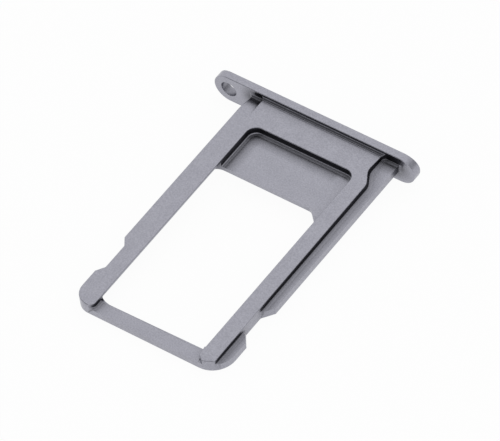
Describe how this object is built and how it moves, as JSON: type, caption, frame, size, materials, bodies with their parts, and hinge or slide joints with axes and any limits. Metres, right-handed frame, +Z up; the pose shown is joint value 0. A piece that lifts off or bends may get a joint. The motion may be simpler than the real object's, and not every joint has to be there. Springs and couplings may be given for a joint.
{
  "type": "sim card tray",
  "caption": "Thin metal tray for a nano SIM card: a narrow frame round an open window, behind a round-ended face plate with an ejector hole.",
  "frame": {"origin": "middle of the footprint, level with the face plate's lower edge", "axes": "+Y outwards through the face plate along the tray's length, +X to the right along the plate seen from above with the plate far away, +Z up from the card side to the stepped side"},
  "size_m": [0.0148, 0.0194, 0.0021],
  "materials": {
    "anodised_metal": "fine bead-blasted, anodised dark grey"
  },
  "bodies": {
    "root": {"sim_card_tray": "anodised_metal"}
  },
  "joints": []
}
